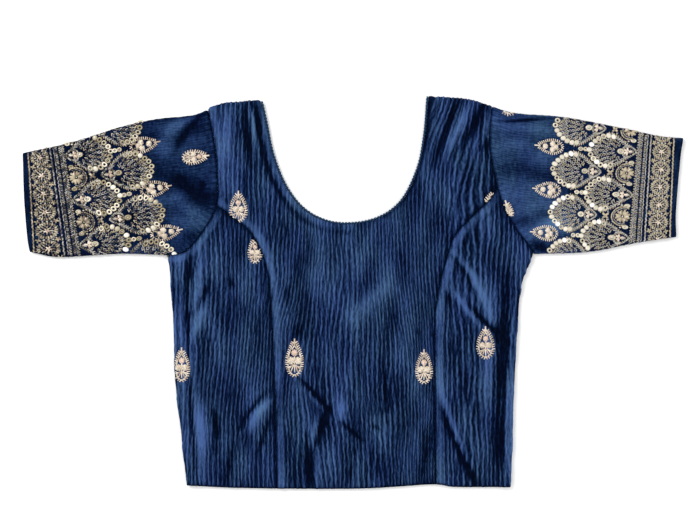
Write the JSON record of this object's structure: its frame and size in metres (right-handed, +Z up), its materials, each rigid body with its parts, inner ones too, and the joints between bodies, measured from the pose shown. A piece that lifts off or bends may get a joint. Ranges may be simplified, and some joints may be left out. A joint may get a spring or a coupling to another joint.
{
  "type": "choli blouse",
  "caption": "Short-sleeved crinkled choli blouse with a deep round neck, laid flat with its front up; embroidered sleeve borders.",
  "frame": {"origin": "middle of the blouse's outline, on the surface that it lies on", "axes": "+X across the blouse to the right as seen from above, +Y from the hem to the neck, +Z up from the surface"},
  "size_m": [0.6601, 0.3927, 0.0061],
  "materials": {
    "crinkle_cloth": "navy crinkled stretch cloth with a soft sheen",
    "sleeve_cloth": "navy crinkled stretch cloth, finer ripples",
    "neck_edging": "looped narrow edging in a slightly greener navy",
    "gold_thread": "matt antique gold and beige embroidery thread",
    "silver_thread": "silver grey embroidery thread",
    "peach_thread": "cream and peach embroidery thread",
    "sequin": "small cupped sequins, pale gold and bright",
    "sewing_thread": "navy sewing thread"
  },
  "bodies": {
    "root": {"front_centre": "crinkle_cloth", "front_side_left": "crinkle_cloth", "front_side_right": "crinkle_cloth", "back": "crinkle_cloth", "sleeve_left": "sleeve_cloth", "sleeve_right": "sleeve_cloth", "neck_edge_front": "neck_edging", "neck_edge_back": "neck_edging"}
  },
  "joints": []
}
